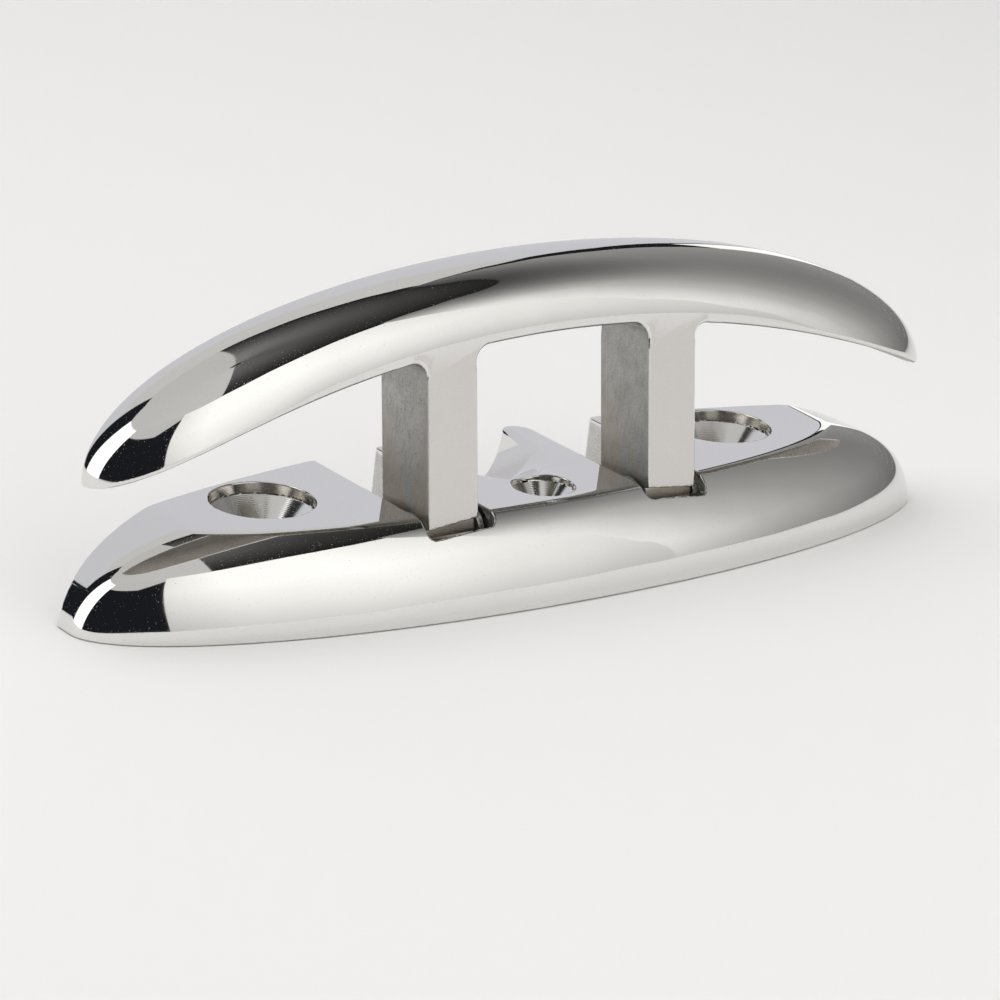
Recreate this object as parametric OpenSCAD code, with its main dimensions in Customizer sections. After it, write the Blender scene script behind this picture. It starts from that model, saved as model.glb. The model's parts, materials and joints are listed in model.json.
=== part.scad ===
// Flip-up mooring cleat in cast stainless steel.
// The horn is one casting, a crossbar on two legs. It turns on two short pins in the feet of the legs
// and folds back against the rear wall of the base, where it lies flush with the deck of the base.
//
// Frame: the origin is midway between the two large deck screws, on the face that meets the boat.
// +X runs along the cleat, -Y is the side with the rounded rim, and +Z points up.

/* [Base] */
// Overall length of the base
base_length = 154; // [150:1:158]
// Height of the flat deck above the boat
base_height = 14; // [14:0.5:16]
// How far the curved front edge bulges in front of the tips of the base
front_bulge = 20.5; // [19:0.5:22]
// Distance from the large screws' line forward to the tips of the base
tip_offset = 4.4; // [3.5:0.1:5]
// Width of the rounded rim at the middle of the front edge
rim_width = 7; // [6.5:0.5:8]
// Width of the rounding at the ends of the base
end_width = 18; // [14:1:20]
// Share of a quarter-round that the rim's profile follows at the middle of the front edge
rim_share = 0.38; // [0.35:0.01:0.6]
// Radius of the edge that meets the boat
foot_edge = 0.4; // [0.2:0.1:0.6]
// Distance from the large screws' line back to the middle of the rear wall
rear_offset = 14.2; // [13:0.1:14.2]
// Radius of the arc that the rear wall follows
rear_radius = 192; // [190:1:194]
// Draft angle of the rear wall, in degrees
wall_draft = 4; // [2:0.5:4]

/* [Horn] */
// Overall length of the horn
horn_length = 151; // [148:1:154]
// Width of the rounding along the middle of the crown
crown_width = 10; // [9:0.5:11]
// Height of the crown above the boat, with the horn square to the deck
horn_height = 49.7; // [48:0.1:52]
// How far the crown arches above the tips of the horn
horn_arch = 26.2; // [25:0.1:27]
// Height of the crossbar's section at its middle
bar_height = 11.2; // [10.5:0.1:12]
// Depth of the crossbar and of the legs, from front to back
horn_depth = 12.4; // [12:0.1:12.5]
// Radius of the crossbar's rear edge
horn_edge = 0.8; // [0.4:0.1:1]
// Radius of the arc that the crossbar's underside follows
underside_radius = 185; // [182:1:188]
// Draft angle of the underside, in degrees
underside_draft = 2; // [0:0.5:3]
// Width of each leg
leg_width = 8.8; // [8:0.1:9]
// Clear distance between the legs
leg_gap = 31.2; // [30:0.1:32]
// Radius of the fillets where the legs run into the crossbar
leg_fillet = 2.5; // [1.5:0.1:3]
// Angle by which the open horn leans back from square, in degrees
lean = 7; // [5:0.5:9]

/* [Hinge] */
// Diameter of the hinge pins
pin_d = 5; // [4.5:0.1:5.2]
// Distance from a leg's front face to the pin's axis
pin_setback = 4.5; // [4.4:0.1:4.6]
// Radius of the round foot of each leg
foot_r = 4.4; // [4.2:0.1:4.4]
// How far the foot stands back from the leg's front face
toe_step = 0.9; // [0.6:0.1:1]
// Play between a leg's outer face and its channel, which holds the thrust washer
outer_play = 1.05; // [0.9:0.05:1.1]
// Play between a leg's inner face and its channel, which holds the disc springs
inner_play = 1.8; // [1.7:0.05:1.9]

/* [Screw holes] */
// Distance between the two large deck screws
screw_spacing = 84.8; // [84:0.1:86]
// Diameter of the clearance hole of the large screws
screw_hole_d = 8.6; // [8.4:0.1:9]
// Diameter of the large countersinks
screw_head_d = 16; // [15.5:0.1:16.5]
// Depth of the straight wall above the large countersinks
screw_wall = 1.8; // [1.5:0.1:2]
// Diameter of the clearance hole of the centre screw
centre_hole_d = 5.5; // [5.2:0.1:5.8]
// Diameter of the centre countersink
centre_head_d = 9.8; // [9.5:0.1:10]
// Depth of the straight wall above the centre countersink
centre_wall = 1; // [0.8:0.1:1.2]
// Distance from the large screws' line forward to the centre screw
centre_offset = 11.6; // [11.4:0.1:11.8]

/* [Hidden] */
$fn = 64;

STEEL = "gainsboro";
CAST_STEEL = "silver";
DARK_STEEL = "dimgray";

// How far a cutting tool runs past the face that it cuts
past = 1;
// How far the base's blank runs past its rear wall before it is trimmed
trim = 5;
// How far two shapes that are joined run into each other
overlap = 0.01;

// Play round the turning foot in its seat, and round the pins and lock screws in their holes
turning_gap = 0.35;
bore_fit = 0.02;
running_fit = 0.05;

// Places along Y and Z
leg_front_y = -17.6;
pin_y = leg_front_y + pin_setback;
pin_z = base_height - pin_setback;
underside_z = horn_height - bar_height;
toe_in_z = 12.4;
toe_slope = 5.5;
ledge_z = 11.2;
lip_y = leg_front_y - 1.8;

// Places along X, on the right-hand half
leg_in = leg_gap / 2;
leg_out = leg_in + leg_width;
channel_in = leg_in - inner_play;
channel_out = leg_out + outer_play;
channel_w = channel_out - channel_in;
channel_corner_r = 1.2;
pin_in = 8.8;
pin_out = 28.2;
pin_end_gap = 0.1;
pin_chamfer = 0.5;
pin_slot_end = 47.6;
pin_slot_w = 5.3;

// Washers and lock screws
washer_d = 8.2;
washer_hole_d = pin_d + 0.2;
washer_play = 0.1;
disc_t = 0.45;
disc_rim_gap = 0.04;
lock_x = 11.2;
lock_d = 4;
lock_len = 5.8;
lock_nose = 0.8;
lock_groove = 0.4;
lock_play = 0.05;
socket_af = 2;
socket_depth = 2.2;

// The finger scoop is a round groove that runs down to the rear
scoop_r = 9.8;
scoop_angle = 29;
scoop_axis_z = 13.4;
scoop_below = 20;
scoop_len = 80;

// Facets of the domed castings
arc_steps = 40;
profile_steps = 9;

// How far a dome has curved inwards at height z, from 0 at its foot to 1 at its flat top of the given
// height. Its profile follows the whole of a quarter-round where share is 1, and the lower part of a
// taller one where share is less.
function curved_in(z, height, share) =
    let (crest = height / sqrt(1 - pow(1 - share, 2)))
        (1 - sqrt(max(0, 1 - pow(z / crest, 2)))) / share;

// A dome on half an ellipse towards +Y, closed by a straight skirt towards -Y. It stands on z = 0 with
// its full outline, and it curves inwards up to its flat top by end_inset at the two ends and by
// side_inset at the middle. Its profile is a quarter-round at the ends and the given share of one at
// the middle. edge_r rounds the edge where the sides meet z = 0.
module dome(half_length, reach, end_inset, side_inset, height, share, edge_r, skirt) {
    rise = height - edge_r;
    levels = concat(
        [for (a = [0, 30, 60]) [edge_r * (1 - sin(a)), edge_r * (1 - cos(a))]],
        [for (k = [0 : profile_steps]) [0, edge_r + rise * sin(90 * k / profile_steps)]]
    );
    rings = [for (level = levels)
        let (
            z = max(0, level[1] - edge_r),
            end_x = half_length - level[0] - end_inset * curved_in(z, rise, 1)
        )
        concat(
            [for (i = [0 : arc_steps])
                let (
                    a = 180 * i / arc_steps,
                    inset = curved_in(z, rise, 1 - (1 - share) * (1 - pow(cos(a), 4)))
                )
                [
                    (half_length - level[0] - end_inset * inset) * cos(a),
                    (reach - level[0] - side_inset * inset) * sin(a),
                    level[1]
                ]],
            [[-end_x, -skirt, level[1]], [end_x, -skirt, level[1]]]
        )];
    count = arc_steps + 3;
    top = len(levels) - 1;
    sides = [for (k = [0 : top - 1], i = [0 : count - 1], half = [0, 1])
        let (
            j = (i + 1) % count,
            low = k * count,
            high = low + count
        )
        half == 0 ? [low + i, high + i, high + j] : [low + i, high + j, low + j]];
    bottom_face = [for (i = [0 : count - 1]) i];
    top_face = [for (i = [count - 1 : -1 : 0]) top * count + i];
    polyhedron([for (ring = rings) each ring], concat([bottom_face, top_face], sides), convexity = 6);
}

// Copies for the left half and the right half
module both_sides() {
    for (side = [0, 1]) mirror([side, 0, 0]) children();
}

// A cylinder along X between two places, on the hinge axis
module on_pin_axis(x0, x1, r) {
    translate([x0, pin_y, pin_z]) rotate([0, 90, 0]) cylinder(h = x1 - x0, r = r);
}

// Half of a section turned about the hinge axis, with [radius, x] points
module turned_on_pin_axis(points) {
    translate([0, pin_y, pin_z]) rotate([0, 90, 0]) rotate_extrude() polygon(points);
}

// Swings the upright horn to its open rest, leaning back
module lean_back() {
    translate([0, pin_y, pin_z]) rotate([-lean, 0, 0]) translate([0, -pin_y, -pin_z]) children();
}

// ---- Base ----

module base_blank() {
    rear_run = past * tan(wall_draft);
    drop = (base_height + past) * tan(wall_draft);
    intersection() {
        translate([0, -tip_offset, 0]) mirror([0, 1, 0])
            dome(base_length / 2, front_bulge, end_width, rim_width, base_height, rim_share, foot_edge,
                rear_offset + tip_offset + trim);
        translate([0, rear_offset - rear_radius, -past])
            cylinder(h = base_height + 2 * past, r1 = rear_radius + drop, r2 = rear_radius - rear_run,
                $fn = 256);
    }
}

// A plan outline with rounded front corners, open towards the rear
module notch_outline(w, d, r) {
    translate([0, r]) square([w, d - r]);
    translate([r, 0]) square([w - 2 * r, r + overlap]);
    for (x = [r, w - r]) translate([x, r]) circle(r);
}

// The channel of the right-hand leg: a slot open to the rear and to the boat, a round seat that the
// foot turns in, and a notch in the rim with a ledge under the toe of the leg
module leg_channel() {
    seat_r = foot_r + turning_gap;
    translate([channel_in, pin_y, -past])
        cube([channel_w, rear_offset - pin_y + trim, base_height + 2 * past]);
    translate([channel_in, pin_y - seat_r, -past])
        cube([channel_w, seat_r + past, pin_z + past]);
    on_pin_axis(channel_in, channel_out, seat_r);
    translate([channel_in, lip_y, ledge_z]) linear_extrude(base_height)
        notch_outline(channel_w, pin_y - lip_y + past, channel_corner_r);
}

// The drilled seat of the right-hand pin and the slot under the base through which it goes in
module pin_bore() {
    slot_len = pin_slot_end - pin_out;
    on_pin_axis(pin_in, pin_out + past, pin_d / 2 + bore_fit);
    on_pin_axis(pin_out, pin_slot_end, pin_slot_w / 2);
    translate([pin_out, pin_y - pin_slot_w / 2, -past])
        cube([slot_len, pin_slot_w, pin_z + past]);
    translate([lock_x, pin_y, -past]) cylinder(h = pin_z + past, d = lock_d + 2 * bore_fit);
}

// A countersunk screw hole from the deck through to the boat, with a short straight wall above its cone
module countersunk_hole(hole_d, head_d, wall) {
    cone_h = (head_d - hole_d) / 2;
    top = base_height - wall;
    translate([0, 0, -past]) cylinder(h = base_height + 2 * past, d = hole_d);
    translate([0, 0, top - cone_h]) cylinder(h = cone_h, d1 = hole_d, d2 = head_d);
    translate([0, 0, top]) cylinder(h = wall + past, d = head_d);
}

// The groove at the rear where a finger gets hold of the folded horn
module finger_scoop() {
    translate([0, rear_offset, scoop_axis_z]) rotate([90 - scoop_angle, 0, 0])
        translate([0, 0, -scoop_below]) cylinder(h = scoop_len, r = scoop_r, $fn = 96);
}

module base() {
    color(STEEL) difference() {
        base_blank();
        both_sides() {
            leg_channel();
            pin_bore();
            translate([screw_spacing / 2, 0, 0]) countersunk_hole(screw_hole_d, screw_head_d, screw_wall);
        }
        translate([0, -centre_offset, 0]) countersunk_hole(centre_hole_d, centre_head_d, centre_wall);
        finger_scoop();
    }
}

// ---- Horn ----

// The domed block that the crossbar and the legs are part of, reaching down past the feet
module horn_blank() {
    translate([0, leg_front_y + horn_depth, horn_height - horn_arch]) rotate([90, 0, 0])
        dome(horn_length / 2, horn_arch, end_width, crown_width, horn_depth, 1, horn_edge,
                horn_height - horn_arch);
}

// Everything below the arched underside of the crossbar
module underside_cutter() {
    back_r = underside_radius + (horn_depth + past) * tan(underside_draft);
    front_r = underside_radius - past * tan(underside_draft);
    translate([0, leg_front_y + horn_depth + past, underside_z - underside_radius]) rotate([90, 0, 0])
        cylinder(h = horn_depth + 2 * past, r1 = back_r, r2 = front_r, $fn = 256);
}

// The section of one leg behind its toe, seen from the side: a straight shank over a round foot
module leg_profile() {
    toe_y = leg_front_y + toe_step;
    translate([toe_y, pin_z]) square([horn_depth - toe_step, underside_z + past - pin_z]);
    intersection() {
        translate([pin_y, pin_z]) circle(foot_r);
        translate([toe_y, 0]) square([horn_depth, base_height]);
    }
}

// The front skin of the leg, which stops above the foot in an edge that falls towards the outside
module leg_toe() {
    translate([0, leg_front_y + toe_step + overlap, 0]) rotate([90, 0, 0])
        linear_extrude(toe_step + overlap) polygon([
            [leg_in, toe_in_z],
            [leg_out, toe_in_z - leg_width * tan(toe_slope)],
            [leg_out, underside_z + past],
            [leg_in, underside_z + past]
        ]);
}

// A concave fillet between the leg's face at x and the crossbar's underside. outwards is 1 or -1.
module leg_root(x, outwards) {
    axis_x = x + outwards * leg_fillet;
    axis_z = underside_z - underside_radius
        + sqrt(pow(underside_radius - leg_fillet, 2) - pow(axis_x, 2));
    left = min(x - outwards * past, axis_x);
    translate([0, leg_front_y + horn_depth, 0]) rotate([90, 0, 0]) linear_extrude(horn_depth)
        difference() {
            translate([left, axis_z]) square([leg_fillet + past, leg_fillet + past]);
            translate([axis_x, axis_z]) circle(leg_fillet);
        }
}

module leg() {
    translate([leg_in, 0, 0]) rotate([90, 0, 90]) linear_extrude(leg_width) leg_profile();
    leg_toe();
    leg_root(leg_in, -1);
    leg_root(leg_out, 1);
}

// The blank, with all that lies below the crossbar cut away except the two legs
module horn() {
    color(STEEL) lean_back() difference() {
        horn_blank();
        difference() {
            underside_cutter();
            both_sides() leg();
        }
        both_sides() on_pin_axis(leg_in - past, leg_out + past, pin_d / 2 + running_fit);
    }
}

// ---- Hinge hardware, drawn for the right-hand side ----

module hinge_pin() {
    r = pin_d / 2;
    pin_end = pin_in + pin_end_gap;
    color(STEEL) turned_on_pin_axis([
        [0, pin_end],
        [r - pin_chamfer, pin_end],
        [r, pin_end + pin_chamfer],
        [r, lock_x - lock_d / 2],
        [r - lock_groove, lock_x - lock_d / 2 + lock_groove],
        [r - lock_groove, lock_x + lock_d / 2 - lock_groove],
        [r, lock_x + lock_d / 2],
        [r, pin_out - pin_chamfer],
        [r - pin_chamfer, pin_out],
        [0, pin_out]
    ]);
}

module thrust_washer() {
    color(CAST_STEEL) difference() {
        on_pin_axis(leg_out + washer_play, channel_out - washer_play / 2, washer_d / 2);
        on_pin_axis(leg_out, channel_out, washer_hole_d / 2);
    }
}

// Two disc springs face to face, which press the leg against its thrust washer
module spring_washers() {
    x0 = channel_in + washer_play / 2;
    x1 = leg_in - washer_play;
    rise = (x1 - x0 - disc_rim_gap) / 2 - disc_t;
    inner = washer_hole_d / 2;
    outer = washer_d / 2;
    color(CAST_STEEL) {
        turned_on_pin_axis([
            [inner, x0], [inner, x0 + disc_t], [outer, x0 + disc_t + rise], [outer, x0 + rise]
        ]);
        turned_on_pin_axis([
            [inner, x1 - disc_t], [inner, x1], [outer, x1 - rise], [outer, x1 - disc_t - rise]
        ]);
    }
}

// A socket set screw under the base. Its nose sits in the groove of the pin.
module lock_screw() {
    tip_z = pin_z - pin_d / 2 + lock_groove - lock_play;
    color(DARK_STEEL) translate([lock_x, pin_y, tip_z - lock_len]) difference() {
        union() {
            cylinder(h = lock_len - lock_nose, d = lock_d);
            translate([0, 0, lock_len - lock_nose])
                cylinder(h = lock_nose, d1 = lock_d, d2 = lock_d - 2 * lock_nose);
        }
        translate([0, 0, -past]) cylinder(h = socket_depth + past, d = socket_af / cos(30), $fn = 6);
    }
}

base();
horn();
mirror([1, 0, 0]) hinge_pin();  // hinge_pin_left
hinge_pin();  // hinge_pin_right
mirror([1, 0, 0]) thrust_washer();  // thrust_washer_left
thrust_washer();  // thrust_washer_right
mirror([1, 0, 0]) spring_washers();  // spring_washers_left
spring_washers();  // spring_washers_right
mirror([1, 0, 0]) lock_screw();  // lock_screw_left
lock_screw();  // lock_screw_right
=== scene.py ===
"""Looks of a flip-up mooring cleat in polished cast stainless steel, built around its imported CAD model.

The two castings are made anew as fine meshes. Each is written as a distance function in millimetres,
negative inside the steel, so that every edge gets its own radius and the polished skin gets exact
normals. The hinge hardware keeps its CAD shape and gets better materials.
"""

import json
import math

import bpy
import numpy as np
import openvdb
from mathutils import Matrix, Vector


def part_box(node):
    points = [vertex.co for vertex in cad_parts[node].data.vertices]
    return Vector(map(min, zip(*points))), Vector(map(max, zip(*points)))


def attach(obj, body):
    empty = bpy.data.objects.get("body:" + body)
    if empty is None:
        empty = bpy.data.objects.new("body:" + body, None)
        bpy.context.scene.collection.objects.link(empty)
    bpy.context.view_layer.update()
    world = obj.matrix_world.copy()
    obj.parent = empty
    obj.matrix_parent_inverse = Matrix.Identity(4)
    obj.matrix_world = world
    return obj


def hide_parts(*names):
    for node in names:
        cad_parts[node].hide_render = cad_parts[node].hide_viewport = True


MM = 0.001

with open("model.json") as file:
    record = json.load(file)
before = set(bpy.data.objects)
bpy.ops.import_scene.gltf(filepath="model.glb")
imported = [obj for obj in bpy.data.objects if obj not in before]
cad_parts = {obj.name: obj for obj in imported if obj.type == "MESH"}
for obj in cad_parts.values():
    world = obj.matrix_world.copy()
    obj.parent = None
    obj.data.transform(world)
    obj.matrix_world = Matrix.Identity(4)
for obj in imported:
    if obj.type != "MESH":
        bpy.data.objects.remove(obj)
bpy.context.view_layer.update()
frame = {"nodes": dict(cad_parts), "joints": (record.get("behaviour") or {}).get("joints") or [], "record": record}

# ---------------------------------------------------------------------------------------------
# Sizes in millimetres. Those that the frame holds are read from it.
# ---------------------------------------------------------------------------------------------

MOUNTS = {mount["name"]: mount for mount in frame["record"]["mounts"]}
HINGE = frame["joints"][0]
BASE_LOW, BASE_HIGH = (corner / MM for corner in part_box("base"))

BASE_HALF_LENGTH = BASE_HIGH.x
BASE_HEIGHT = BASE_HIGH.z
TIP_Y = -4.4
FRONT_BULGE = TIP_Y - BASE_LOW.y
END_INSET = 18.0
RIM_INSET = 7.0
RIM_SHARE = 0.38
DECK_EDGE = 0.5
FOOT_EDGE = 0.4
TIP_DROP = 2.0
REAR_Y = 14.2
REAR_RADIUS = 192.0
REAR_DRAFT = math.radians(4)
LOBE_EDGE = 0.35
OUTER_LOBE_CORNER = 1.0
MIDDLE_LOBE_LEFT_CORNER = 0.6
MIDDLE_LOBE_RIGHT_CORNER = 3.0

PIN_Y = HINGE["pos_m"][1] / MM
PIN_Z = HINGE["pos_m"][2] / MM
PIN_RADIUS = 2.5
PIN_IN = 8.8
PIN_OUT = 28.2
BORE_FIT = 0.02
RUNNING_FIT = 0.05
SLOT_END = 47.6
SLOT_HALF_WIDTH = 2.65
LOCK_X = 11.2
LOCK_RADIUS = 2.0
LEAN = math.radians(7)

HORN_HALF_LENGTH = 75.5
HORN_FRONT_Y = -17.6
HORN_DEPTH = 12.4
HORN_BACK_Y = HORN_FRONT_Y + HORN_DEPTH
HORN_TOP = 49.68
HORN_ARCH = 26.2
HORN_EDGE = 0.8
CROWN_INSET = 10.0
UNDERSIDE_Z = 38.5
UNDERSIDE_RADIUS = 185.0
UNDERSIDE_DRAFT = math.radians(2)
LEG_IN = 15.6
LEG_OUT = 24.4
LEG_MIDDLE = (LEG_IN + LEG_OUT) / 2
LEG_FILLET = 2.5
LEG_EDGE = 0.25
BAR_EDGE = 0.8
BAR_EDGE_Z = 34.0
BAR_EDGE_RUN = 3.0
SATIN_TOP_Z = 37.6
SATIN_DIP = 2.4
TOE_IN_Z = 12.4
TOE_SLOPE = math.radians(5.5)
TOE_STEP = 0.9
TOE_CORNER = 0.2
FOOT_RADIUS = 4.4

CHANNEL_IN = 13.8
CHANNEL_OUT = 25.45
CHANNEL_EDGE = 0.3
CHANNEL_CORNER = 1.2
SEAT_RADIUS = 4.75
LEDGE_Z = 11.2
LIP_Y = -19.4

SCREW_X = MOUNTS["deck_screws"]["dims"]["spacing_x_mm"] / 2
SCREW_HOLE = MOUNTS["deck_screws"]["dims"]["hole_r_mm"]
SCREW_HEAD = 8.0
SCREW_WALL = 1.8
HOLE_EDGE = 0.2
CENTRE_Y = MOUNTS["centre_screw"]["pos_m"][1] / MM
CENTRE_HOLE = MOUNTS["centre_screw"]["dims"]["r_mm"]
CENTRE_HEAD = 4.9
CENTRE_WALL = 1.0

SCOOP_RADIUS = 9.8
SCOOP_ANGLE = math.radians(29)
SCOOP_Z = 13.4
SCOOP_EDGE = 1.0

VOXEL = 0.22
MAX_TRIANGLES = 190_000


# ---------------------------------------------------------------------------------------------
# Distance functions. x, y and z are arrays of the same shape.
# ---------------------------------------------------------------------------------------------

def outside(value, low, high):
    """How far a value lies outside a range, and negative within it."""
    return np.maximum(low - value, value - high)


def both(a, b, radius):
    """What lies inside both shapes, with a convex edge of the given radius between them."""
    past_a = np.maximum(a + radius, 0)
    past_b = np.maximum(b + radius, 0)
    return np.minimum(np.maximum(a, b), -radius) + np.hypot(past_a, past_b)


def either(a, b, radius):
    """What lies inside one shape or the other, with a concave fillet of the given radius."""
    return -both(-a, -b, radius)


def without(a, b, radius):
    """Shape a with shape b cut out of it, and a convex edge of the given radius round the cut."""
    return both(a, -b, radius)


def middle(along, half_length):
    """1 at the middle of a dome's length, falling to 0 at its ends."""
    return np.maximum(1 - (along / half_length) ** 4, 0)


def dome(along, across, height, half_length, reach, end_inset, side_inset, top, middle_share):
    """A dome on half an ellipse. It stands on height 0 with its full outline, and up to its top it
    curves inwards, by end_inset at the two ends and by side_inset in the middle. Its profile is a
    quarter-round at the ends. In the middle it is the lower part of a taller one, of middle_share."""
    along = np.abs(along)
    across = np.maximum(across, 0)
    inset = np.full(along.shape, 1.2)
    for _ in range(8):
        length = half_length - end_inset * inset
        width = reach - side_inset * inset
        excess = (along / length) ** 2 + (across / width) ** 2 - 1
        growth = 2 * along**2 * end_inset / length**3 + 2 * across**2 * side_inset / width**3
        inset = np.clip(inset - excess / np.maximum(growth, 1e-6), -3, 1.2)
    slope_along = 2 * along / length**2
    slope_across = 2 * across / width**2
    inset_slope = np.hypot(slope_along, slope_across) / np.maximum(growth, 1e-6)
    share = 1 - (1 - middle_share) * middle(along, half_length)
    crest = top / np.sqrt(1 - (1 - share) ** 2)
    run = np.maximum(1 - share * inset, 0)
    rise = np.maximum(height, 0) / crest
    level = np.maximum(np.hypot(run, rise), 1e-6)
    slope = np.hypot(run * share * inset_slope, rise / crest) / level
    return (level - 1) / np.maximum(slope, 0.02)


def screw_hole(x, y, z, hole, head, wall):
    """A countersunk hole with a short straight wall above its cone."""
    radius = np.hypot(x, y)
    top = BASE_HEIGHT - wall
    bottom = top - (head - hole)
    cone = np.maximum((radius - hole - (z - bottom)) * math.sqrt(0.5), z - top)
    straight = np.maximum(radius - head, top - z)
    return np.minimum(np.minimum(radius - hole, cone), straight)


def leg_channel(x, y, z):
    """The slot of one leg, the round seat of its foot and the notch in the rim in front of it."""
    across = outside(np.abs(x), CHANNEL_IN, CHANNEL_OUT)
    seat = np.minimum(
        np.minimum(PIN_Y - y, np.hypot(y - PIN_Y, z - PIN_Z) - SEAT_RADIUS),
        np.maximum(z - PIN_Z, PIN_Y - SEAT_RADIUS - y),
    )
    notch = both(both(across, LIP_Y - y, CHANNEL_CORNER), LEDGE_Z - z, CHANNEL_EDGE)
    return np.minimum(np.maximum(across, seat), notch)


def hinge_bores(x, y, z):
    """The pin's bore, the slot that it goes in by, and the hole of its lock screw."""
    side = np.abs(x)
    from_pin = np.hypot(y - PIN_Y, z - PIN_Z)
    bore = np.maximum(from_pin - PIN_RADIUS - BORE_FIT, outside(side, PIN_IN, PIN_OUT + 1))
    below = np.maximum(np.abs(y - PIN_Y) - SLOT_HALF_WIDTH, z - PIN_Z)
    slot = np.maximum(np.minimum(from_pin - SLOT_HALF_WIDTH, below), outside(side, PIN_OUT, SLOT_END))
    lock = np.maximum(np.hypot(side - LOCK_X, y - PIN_Y) - LOCK_RADIUS - BORE_FIT, z - PIN_Z)
    return np.minimum(np.minimum(bore, slot), lock)


def base_distance(x, y, z):
    side = np.abs(x)
    start = FOOT_EDGE - TIP_DROP * (x / BASE_HALF_LENGTH) ** 2
    deck = dome(x, TIP_Y - y, z - start, BASE_HALF_LENGTH, FRONT_BULGE, END_INSET, RIM_INSET,
                BASE_HEIGHT - start, RIM_SHARE)
    deck = both(deck, z - BASE_HEIGHT, DECK_EDGE * middle(x, BASE_HALF_LENGTH))
    rear_radius = REAR_RADIUS + (BASE_HEIGHT - z) * math.tan(REAR_DRAFT)
    rear = (np.hypot(x, y - REAR_Y + REAR_RADIUS) - rear_radius) * math.cos(REAR_DRAFT)
    across = outside(side, CHANNEL_IN, CHANNEL_OUT)
    middle_corner = np.where(x > 0, MIDDLE_LOBE_RIGHT_CORNER, MIDDLE_LOBE_LEFT_CORNER)
    corner = np.where(side > LEG_MIDDLE, OUTER_LOBE_CORNER, middle_corner)
    lobes = both(rear, -np.maximum(across, PIN_Y - y), corner)
    body = both(both(deck, lobes, LOBE_EDGE), -z, FOOT_EDGE)
    scoop_y = y - REAR_Y
    scoop_z = z - SCOOP_Z
    from_axis = np.hypot(x, scoop_z * math.cos(SCOOP_ANGLE) + scoop_y * math.sin(SCOOP_ANGLE))
    body = without(body, from_axis - SCOOP_RADIUS, SCOOP_EDGE)
    body = without(body, leg_channel(x, y, z), CHANNEL_EDGE)
    large_holes = screw_hole(side - SCREW_X, y, z, SCREW_HOLE, SCREW_HEAD, SCREW_WALL)
    centre_hole = screw_hole(x, y - CENTRE_Y, z, CENTRE_HOLE, CENTRE_HEAD, CENTRE_WALL)
    for hole in (large_holes, centre_hole, hinge_bores(x, y, z)):
        body = without(body, hole, HOLE_EDGE)
    return body


def horn_distance(x, y, z):
    """The horn, standing square to the deck."""
    side = np.abs(x)
    blank = dome(x, z - HORN_TOP + HORN_ARCH, HORN_BACK_Y - y - HORN_EDGE, HORN_HALF_LENGTH, HORN_ARCH,
                 END_INSET, CROWN_INSET, HORN_DEPTH - HORN_EDGE, 1.0)
    blank = both(blank, y - HORN_BACK_Y, HORN_EDGE)
    bend = UNDERSIDE_RADIUS + (y - HORN_FRONT_Y) * math.tan(UNDERSIDE_DRAFT)
    underside = bend - np.hypot(x, z - UNDERSIDE_Z + UNDERSIDE_RADIUS)
    legs = outside(side, LEG_IN, LEG_OUT)
    below = either(underside, legs, LEG_FILLET)
    toe = TOE_IN_Z - (side - LEG_IN) * math.tan(TOE_SLOPE)
    foot = np.minimum(PIN_Z - z, np.hypot(y - PIN_Y, z - PIN_Z) - FOOT_RADIUS)
    cut_back = np.minimum(HORN_FRONT_Y + TOE_STEP - y, toe - z)
    below = both(below, both(foot, cut_back, TOE_CORNER), LEG_EDGE)
    past_leg = np.maximum(z - BAR_EDGE_Z, side - LEG_OUT - LEG_FILLET) / BAR_EDGE_RUN
    edge = LEG_EDGE + (BAR_EDGE - LEG_EDGE) * np.clip(past_leg, 0, 1)
    body = both(blank, below, edge)
    bore = np.hypot(y - PIN_Y, z - PIN_Z) - PIN_RADIUS - RUNNING_FIT
    return without(body, bore, CHANNEL_EDGE)


# ---------------------------------------------------------------------------------------------
# Finishes. Each step's two numbers are where a finish starts and where it is full.
# ---------------------------------------------------------------------------------------------

def step(value, low, high):
    """0 where value is under low, 1 where it is over high, and smooth between them."""
    share = np.clip((value - low) / (high - low), 0, 1)
    return share * share * (3 - 2 * share)


def base_finish(x, y, z, normal_x, normal_y, normal_z):
    """How far each finish shows at each point of the base, from 0 to 1."""
    side = np.abs(x)
    depth = BASE_HEIGHT - z
    in_channel = step(side, CHANNEL_IN - 0.2, CHANNEL_IN)
    in_channel = in_channel * step(-side, -CHANNEL_OUT - 0.2, -CHANNEL_OUT)
    in_channel = in_channel * step(y, LIP_Y - 0.1, LIP_Y + 0.3) * step(-normal_z, -0.95, -0.8)
    ledge = in_channel * step(-np.abs(z - LEDGE_Z), -0.4, -0.2) * step(normal_z, 0.8, 0.95)
    walls = in_channel * step(depth, 0.5, 0.9) * step(y, LIP_Y + 0.5, LIP_Y + 0.9)
    rear = step(normal_y, 0.6, 0.8) * step(y, 4, 6)
    from_large_hole = np.hypot(side - SCREW_X, y) - SCREW_HEAD
    from_centre_hole = np.hypot(x, y - CENTRE_Y) - CENTRE_HEAD
    hole = step(-np.minimum(from_large_hole, from_centre_hole), -0.15, 0) * step(depth, -0.01, 0.2)
    straight = hole * step(-np.abs(normal_z), -0.3, -0.1)
    sloping = step(normal_z, 0.3, 0.5) * step(-normal_z, -0.98, -0.93)
    scoop = step(-side, -9, -7) * step(y, 2, 3.5) * sloping
    below = step(-normal_z, 0.5, 0.8)
    return {
        "cast": np.maximum(np.maximum(walls, ledge), below),
        "satin": np.maximum(rear, scoop),
        "turned": hole,
        # A darker brown tint on the straight walls of the screw holes and, stronger, on the notch's ledge.
        "brown_tint": np.maximum(0.3 * straight, 0.6 * ledge),
    }


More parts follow.
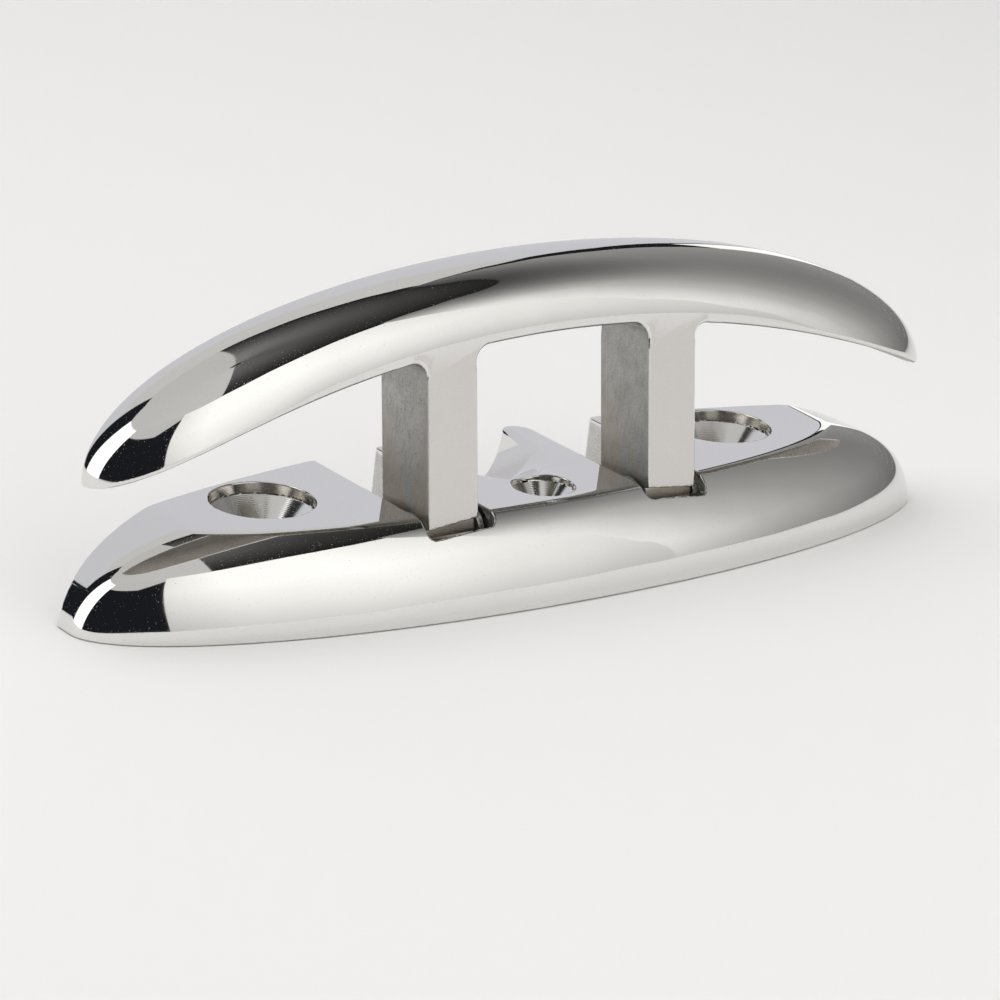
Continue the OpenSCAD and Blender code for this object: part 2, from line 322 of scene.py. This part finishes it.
def horn_finish(x, y, z, normal_x, normal_y, normal_z):
    """How far each finish shows at each point of the horn, from 0 to 1. The satin front of a leg starts
    lower in the middle of the leg than at its sides."""
    side = np.abs(x)
    on_leg = step(side, LEG_IN - 2.6, LEG_IN - 2) * step(-side, -LEG_OUT - 2.6, -LEG_OUT - 2)
    dip = SATIN_DIP * np.maximum(1 - ((side - LEG_MIDDLE) / (LEG_OUT - LEG_MIDDLE)) ** 2, 0)
    flank = on_leg * step(-z, -SATIN_TOP_Z, 0.6 - SATIN_TOP_Z) * step(-np.abs(normal_y), -0.75, -0.55)
    front = on_leg * step(-dip - z, -0.6 - SATIN_TOP_Z, -SATIN_TOP_Z) * step(-normal_y, 0.97, 0.99)
    underside = step(-normal_z, 0.8, 0.95) * step(z, 20, 22)
    foot = step(-z, -TOE_IN_Z, -TOE_IN_Z + 0.6) * step(y, HORN_FRONT_Y + 0.2, HORN_FRONT_Y + 0.6)
    back = step(normal_y, 0.9, 0.97)
    return {
        "cast": np.maximum(np.maximum(flank, foot), underside),
        "satin": np.maximum(front, 0.4 * back),
        "turned": np.zeros_like(x),
        # A darker brown tint on the foot inside the channel and, weaker, under the bar.
        "brown_tint": np.maximum(0.5 * foot, 0.25 * underside),
    }


# ---------------------------------------------------------------------------------------------
# Meshes from distance functions
# ---------------------------------------------------------------------------------------------

def gradient(distance, points):
    """The distance function's gradient at each point, from central differences."""
    reach = 0.01
    parts = []
    for axis in np.eye(3) * reach:
        ahead = distance(*(points + axis).T)
        behind = distance(*(points - axis).T)
        parts.append((ahead - behind) / (2 * reach))
    return np.stack(parts, axis=1)


def settle(distance, points, steps):
    """Moves points onto the surface, along the gradient."""
    for _ in range(steps):
        slope = gradient(distance, points)
        steepness = np.maximum((slope**2).sum(axis=1, keepdims=True), 0.05)
        points = points - distance(*points.T)[:, None] * slope / steepness
    return points


def sampled(distance, low, high, voxel):
    """The distance at each point of a grid. Blocks far from the surface get a constant."""
    block = 16
    counts = [math.ceil((end - start) / voxel / block) * block for start, end in zip(low, high)]
    values = np.empty(counts, np.float32)
    reach = block * voxel
    axes = [start + voxel * np.arange(count) for start, count in zip(low, counts)]
    for i in range(0, counts[0], block):
        for j in range(0, counts[1], block):
            for k in range(0, counts[2], block):
                corner = (axes[0][i], axes[1][j], axes[2][k])
                centre = [np.array([place + reach / 2]) for place in corner]
                where = (slice(i, i + block), slice(j, j + block), slice(k, k + block))
                near = distance(*centre)[0]
                if abs(near) > 1.2 * reach:
                    values[where] = math.copysign(3 * voxel, near)
                    continue
                grid = np.meshgrid(*(axis[w] for axis, w in zip(axes, where)), indexing="ij")
                values[where] = distance(*grid)
    return np.clip(values, -3 * voxel, 3 * voxel)


def new_object(name, points, faces):
    mesh = bpy.data.meshes.new(name)
    mesh.from_pydata(points, [], faces)
    piece = bpy.data.objects.new(name, mesh)
    bpy.context.scene.collection.objects.link(piece)
    return piece


def thinned(piece, most):
    """The piece's mesh with at most that many triangles, fewest where it is flat."""
    triangles = sum(len(face.vertices) - 2 for face in piece.data.polygons)
    if triangles <= most:
        return
    modifier = piece.modifiers.new("thin", "DECIMATE")
    modifier.ratio = most / triangles
    evaluated = piece.evaluated_get(bpy.context.evaluated_depsgraph_get())
    mesh = bpy.data.meshes.new_from_object(evaluated)
    piece.modifiers.clear()
    full = piece.data
    piece.data = mesh
    bpy.data.meshes.remove(full)


def casting(name, distance, finish, low, high, placed):
    """A closed mesh of the distance function's surface inside the box from low to high, placed in the
    frame, with exact normals and with the shares of its finishes as attributes."""
    margin = 4 * VOXEL
    low = np.array(low) - margin
    high = np.array(high) + margin
    grid = openvdb.FloatGrid(3 * VOXEL)
    grid.copyFromArray(sampled(distance, low, high, VOXEL))
    points, quads = grid.convertToQuads()
    points = settle(distance, low + points * VOXEL, 2)
    piece = new_object(name, points, quads.tolist())
    thinned(piece, MAX_TRIANGLES)
    mesh = piece.data
    points = np.empty((len(mesh.vertices), 3))
    mesh.vertices.foreach_get("co", points.ravel())
    points = settle(distance, points, 3)
    normals = gradient(distance, points)
    normals /= np.linalg.norm(normals, axis=1, keepdims=True)
    turn = np.array(placed.to_3x3())
    shift = np.array(placed.translation)
    mesh.vertices.foreach_set("co", ((points @ turn.T + shift) * MM).ravel())
    mesh.shade_smooth()
    mesh.normals_split_custom_set_from_vertices(normals @ turn.T)
    for finish_name, share in finish(*points.T, *normals.T).items():
        attribute = mesh.attributes.new(finish_name, "FLOAT", "POINT")
        attribute.data.foreach_set("value", share.astype(np.float32))
    mesh.update()
    return piece


def leaned_back():
    """Swings the upright horn to its open rest, about the pins."""
    axis_place = Vector((0, PIN_Y, PIN_Z))
    swing = Matrix.Rotation(-LEAN, 4, "X")
    return Matrix.Translation(axis_place) @ swing @ Matrix.Translation(-axis_place)


# ---------------------------------------------------------------------------------------------
# Materials
# ---------------------------------------------------------------------------------------------

class Shading:
    """Builds one material's node tree, a node at a time."""

    def __init__(self, name):
        self.material = bpy.data.materials.new(name)
        self.material.use_nodes = True
        self.tree = self.material.node_tree
        self.shader = self.tree.nodes["Principled BSDF"]
        self.shader.inputs["Metallic"].default_value = 1.0
        self.place = self.tree.nodes.new("ShaderNodeTexCoord").outputs["Object"]

    def give(self, socket, value):
        """Joins an input to another node's output, or sets it to a value."""
        if isinstance(value, bpy.types.NodeSocket):
            self.tree.links.new(value, socket)
        else:
            socket.default_value = value

    def node(self, kind, inputs, output=0, **settings):
        """Adds a node with its settings and inputs, and returns one of its outputs."""
        node = self.tree.nodes.new(kind)
        for setting, value in settings.items():
            setattr(node, setting, value)
        for key, value in inputs.items():
            self.give(node.inputs[key], value)
        return node.outputs[output]

    def share(self, name):
        """An attribute of the mesh, such as how far a finish shows."""
        return self.node("ShaderNodeAttribute", {}, "Fac", attribute_name=name)

    def noise(self, size_mm, detail=3.0, stretch=(1, 1, 1)):
        """Noise from 0 to 1 with features of about that size. A small stretch along an axis makes them
        longer that way."""
        place = self.node("ShaderNodeVectorMath", {0: self.place, 1: stretch}, operation="MULTIPLY")
        scale = 1 / (size_mm * MM)
        return self.node("ShaderNodeTexNoise", {"Vector": place, "Scale": scale, "Detail": detail})

    def math(self, operation, a, b=0.0):
        return self.node("ShaderNodeMath", {0: a, 1: b}, operation=operation)

    def between(self, value, low, high, to_low=0.0, to_high=1.0):
        """Maps low to high onto another range, clamped."""
        return self.node("ShaderNodeMapRange", {0: value, 1: low, 2: high, 3: to_low, 4: to_high})

    def mix(self, share, a, b):
        """Colour a where share is 0 and colour b where it is 1."""
        return self.node("ShaderNodeMix", {0: share, 6: a, 7: b}, 2, data_type="RGBA")

    def finish(self, color, roughness, height):
        """Joins the colour, the roughness and the bump height in metres to the shader."""
        bump = self.node("ShaderNodeBump", {"Height": height, "Distance": 1.0, "Strength": 1.0})
        self.give(self.shader.inputs["Base Color"], color)
        self.give(self.shader.inputs["Roughness"], roughness)
        self.give(self.shader.inputs["Normal"], bump)
        return self.material


POLISH = ((0.82, 0.815, 0.80, 1), (0.76, 0.755, 0.745, 1))
ROUGH_CAST = ((0.36, 0.355, 0.345, 1), (0.47, 0.46, 0.445, 1))
SATIN = ((0.74, 0.72, 0.695, 1), (0.66, 0.645, 0.625, 1))
# The darker brown tint on the ledge, the holes' straight walls, the horn's foot and under its bar.
BROWN_TINT = ((0.30, 0.23, 0.14, 1), (0.55, 0.47, 0.34, 1))
SPECK = (0.50, 0.51, 0.55, 1)
DARK_GRAIN = (0.22, 0.215, 0.21, 1)
DARK_STREAK = (0.20, 0.195, 0.19, 1)

POLISH_ROUGHNESS = (0.02, 0.05)
CAST_ROUGHNESS = (0.40, 0.55)
SATIN_ROUGHNESS = 0.34
SPECK_ROUGHNESS = 0.3
TURNED_ROUGHNESS = 0.14

WAVE_HEIGHT = 0.12 * MM
PIT_HEIGHT = 0.04 * MM
LINE_HEIGHT = 0.012 * MM
RING_HEIGHT = 0.0012 * MM
RING_PITCH = 0.21 * MM


def casting_steel():
    """Cast stainless steel: mirror polish, with satin, turned and rough-cast places, and places with a darker
    brown tint.
    """
    look = Shading("polished_steel")
    cast = look.share("cast")
    satin = look.share("satin")
    turned = look.share("turned")
    brown_tint = look.share("brown_tint")

    cloud = look.noise(3.5, 5)
    grain = look.noise(0.3, 3)
    upright = look.noise(0.5, 3, (1, 1, 0.25))
    specks = look.between(look.noise(0.22, 1), 0.70, 0.74)
    polish = look.mix(look.noise(25, 1), *POLISH)
    polish = look.mix(look.math("MULTIPLY", specks, 0.3), polish, SPECK)
    rough_cast = look.mix(look.between(cloud, 0.25, 0.7), *ROUGH_CAST)
    rough_cast = look.mix(look.between(grain, 0.52, 0.75, 0, 0.6), rough_cast, DARK_GRAIN)
    rough_cast = look.mix(look.between(upright, 0.5, 0.75, 0, 0.35), rough_cast, DARK_STREAK)
    # The darker brown tint, mottled by the grain.
    brown_tint_color = look.mix(look.between(grain, 0.4, 0.6), *BROWN_TINT)
    color = look.mix(satin, polish, look.mix(grain, *SATIN))
    color = look.mix(cast, color, rough_cast)
    color = look.mix(brown_tint, color, brown_tint_color)

    roughness = look.between(look.noise(8, 3), 0.3, 0.7, *POLISH_ROUGHNESS)
    cast_roughness = look.between(grain, 0.3, 0.7, *CAST_ROUGHNESS)
    finishes = (
        (specks, SPECK_ROUGHNESS),
        (satin, SATIN_ROUGHNESS),
        (turned, TURNED_ROUGHNESS),
        (cast, cast_roughness),
    )
    for share, full in finishes:
        roughness = look.math("MAXIMUM", roughness, look.math("MULTIPLY", share, full))

    waves = look.math("MULTIPLY", look.noise(14, 1), WAVE_HEIGHT)
    pits = look.math("MULTIPLY", look.math("MULTIPLY", look.noise(0.4, 4), PIT_HEIGHT), cast)
    lines = look.math("MULTIPLY", look.math("MULTIPLY", upright, LINE_HEIGHT), satin)
    depth = look.node("ShaderNodeSeparateXYZ", {0: look.place}, "Z")
    rings = look.math("SINE", look.math("MULTIPLY", depth, 2 * math.pi / RING_PITCH))
    rings = look.math("MULTIPLY", look.math("MULTIPLY", rings, RING_HEIGHT), turned)
    height = look.math("ADD", look.math("ADD", waves, pits), look.math("ADD", lines, rings))
    return look.finish(color, roughness, height)


def hardware_steel(name, light, dark, roughness):
    """Turned and ground steel of the hinge hardware, with fine lines."""
    look = Shading(name)
    cloud = look.noise(2.0, 3)
    lines = look.noise(0.15, 1, (1, 0.15, 0.15))
    color = look.mix(cloud, light, dark)
    roughness = look.between(lines, 0.3, 0.7, roughness - 0.08, roughness + 0.08)
    return look.finish(color, roughness, look.math("MULTIPLY", lines, 0.003 * MM))


CASTING_STEEL = casting_steel()
HINGE_STEEL = hardware_steel("hinge_steel", (0.66, 0.65, 0.63, 1), (0.52, 0.51, 0.49, 1), 0.28)
SCREW_STEEL = hardware_steel("screw_steel", (0.36, 0.36, 0.37, 1), (0.24, 0.24, 0.25, 1), 0.38)

# ---------------------------------------------------------------------------------------------
# The pieces
# ---------------------------------------------------------------------------------------------

base = casting("base_casting", base_distance, base_finish, BASE_LOW, BASE_HIGH, Matrix.Identity(4))
base.data.materials.append(CASTING_STEEL)
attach(base, "base")
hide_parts("base")

horn = casting(
    "horn_casting",
    horn_distance,
    horn_finish,
    (-HORN_HALF_LENGTH, HORN_FRONT_Y, PIN_Z - FOOT_RADIUS),
    (HORN_HALF_LENGTH, HORN_BACK_Y, HORN_TOP),
    leaned_back(),
)
horn.data.materials.append(CASTING_STEEL)
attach(horn, "horn")
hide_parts("horn")

for name, node in frame["nodes"].items():
    if name not in ("base", "horn"):
        node.data.materials.clear()
        node.data.materials.append(SCREW_STEEL if name.startswith("lock_screw") else HINGE_STEEL)

# ---------------------------------------------------------------------------------------------
# Floor, light and camera
# ---------------------------------------------------------------------------------------------

def emitter(name):
    """A material that glows with the colour of the mesh's glow attribute."""
    material = bpy.data.materials.new(name)
    material.use_nodes = True
    nodes = material.node_tree.nodes
    links = material.node_tree.links
    nodes.clear()
    glow = nodes.new("ShaderNodeAttribute")
    glow.attribute_name = "glow"
    emission = nodes.new("ShaderNodeEmission")
    output = nodes.new("ShaderNodeOutputMaterial")
    links.new(glow.outputs["Color"], emission.inputs["Color"])
    links.new(emission.outputs[0], output.inputs["Surface"])
    return material


def direction(azimuth, elevation):
    """The unit vector towards an azimuth, from +X towards +Y, and an elevation, in degrees."""
    azimuth = math.radians(azimuth)
    elevation = math.radians(elevation)
    level = math.cos(elevation)
    return Vector((level * math.cos(azimuth), level * math.sin(azimuth), math.sin(elevation)))


def card(name, low, high, tint, levels, fade=(1, 1)):
    """A softbox or wall round the object. low and high are its lower and its upper edge, each as two
    azimuths and an elevation in degrees. Its brightness runs through levels from one azimuth to the
    other, times fade from bottom to top."""
    columns, rows = 64, 16
    points = []
    glow = []
    for j in range(rows):
        up = j / (rows - 1)
        start, end, elevation = (a + up * (b - a) for a, b in zip(low, high))
        for i in range(columns):
            across = i / (columns - 1)
            place = direction(start + across * (end - start), elevation)
            points.append(STUDIO_CENTRE + STUDIO_RADIUS * place)
            level = np.interp(across, np.linspace(0, 1, len(levels)), levels)
            level *= np.interp(up, np.linspace(0, 1, len(fade)), fade)
            glow.append([level * part for part in tint] + [1])
    corners = [j * columns + i for j in range(rows - 1) for i in range(columns - 1)]
    faces = [(c, c + 1, c + columns + 1, c + columns) for c in corners]
    patch = new_object(name, points, faces)
    attribute = patch.data.attributes.new("glow", "FLOAT_COLOR", "POINT")
    attribute.data.foreach_set("color", np.array(glow, np.float32).ravel())
    patch.data.materials.append(CARD_GLOW)
    patch.visible_camera = False


STUDIO_CENTRE = Vector((0, 0, 0.02))
STUDIO_RADIUS = 1.1
CARD_GLOW = emitter("card_glow")
WARM = (1.0, 0.985, 0.955)
NEUTRAL = (1.0, 0.985, 0.96)
COOL = (0.97, 0.975, 1.03)
SWEEP_LEVELS = (1.0, 0.6, 0.4, 0.3, 0.25, 0.24, 0.27, 0.33)
DARK_LEVELS = (0.14, 0.12, 0.1, 0.12, 0.15, 0.18, 0.22)

card("key_softbox", (249, 312, -2), (240, 312, 59), WARM, (1.0, 1.3, 1.3, 1.02), (0.62, 0.84, 1, 1))
card("right_sweep", (312, 400, -2), (312, 400, 60), NEUTRAL, SWEEP_LEVELS, (0.7, 1, 1, 1, 0.3))
card("left_softbox", (137, 171, -2), (150, 182, 53), NEUTRAL, (1.6, 1.6))
card("right_softbox", (8, 46, -1), (10, 44, 20), NEUTRAL, (1.2, 1.2))
card("ceiling", (85, 264, 58), (85, 264, 89), NEUTRAL, (0.60, 0.62, 0.66))
card("ceiling_corner", (168, 222, 47), (132, 250, 59), NEUTRAL, (0.62, 0.62))
card("dark_ceiling", (264, 445, 60), (264, 445, 89), NEUTRAL, DARK_LEVELS, (0.15, 0.5, 1, 1.2))
card("back_wall", (46, 122, -2), (44, 122, 40), COOL, (0.70, 0.70))
card("back_wall_top", (44, 122, 40), (40, 122, 58), NEUTRAL, (0.66, 0.66))

world = bpy.data.worlds.new("studio")
bpy.context.scene.world = world
world.use_nodes = True
world.node_tree.nodes["Background"].inputs["Color"].default_value = (0.012, 0.013, 0.016, 1)
bpy.context.scene.view_settings.view_transform = "Standard"

floor = new_object("floor", [(-3, -3, 0), (3, -3, 0), (3, 3, 0), (-3, 3, 0)], [(0, 1, 2, 3)])
floor_paper = Shading("floor_paper")
for setting, value in (("Metallic", 0), ("Base Color", (0.92, 0.915, 0.91, 1)), ("Roughness", 0.9)):
    floor_paper.give(floor_paper.shader.inputs[setting], value)
floor.data.materials.append(floor_paper.material)

overhead_data = bpy.data.lights.new("overhead", "AREA")
overhead_data.size = 1.6
overhead_data.energy = 14.5
overhead = bpy.data.objects.new("overhead", overhead_data)
overhead.location = (0, 0, 1.0)
overhead.visible_glossy = False
bpy.context.scene.collection.objects.link(overhead)

CAMERA_PLACE = Vector((-0.37328, -0.51445, 0.22911))
CAMERA_FORWARD = Vector((0.555186, 0.763989, -0.328768)).normalized()
CAMERA_ROLL = math.radians(3.95)

camera_data = bpy.data.cameras.new("camera")
camera_data.lens = 158.94
camera_data.sensor_width = 36
camera_data.clip_start = 0.01
camera = bpy.data.objects.new("camera", camera_data)
bpy.context.scene.collection.objects.link(camera)
aim = CAMERA_FORWARD.to_track_quat("-Z", "Y").to_matrix().to_4x4()
aim = aim @ Matrix.Rotation(CAMERA_ROLL, 4, "Z")
camera.matrix_world = Matrix.Translation(CAMERA_PLACE) @ aim
bpy.context.scene.camera = camera
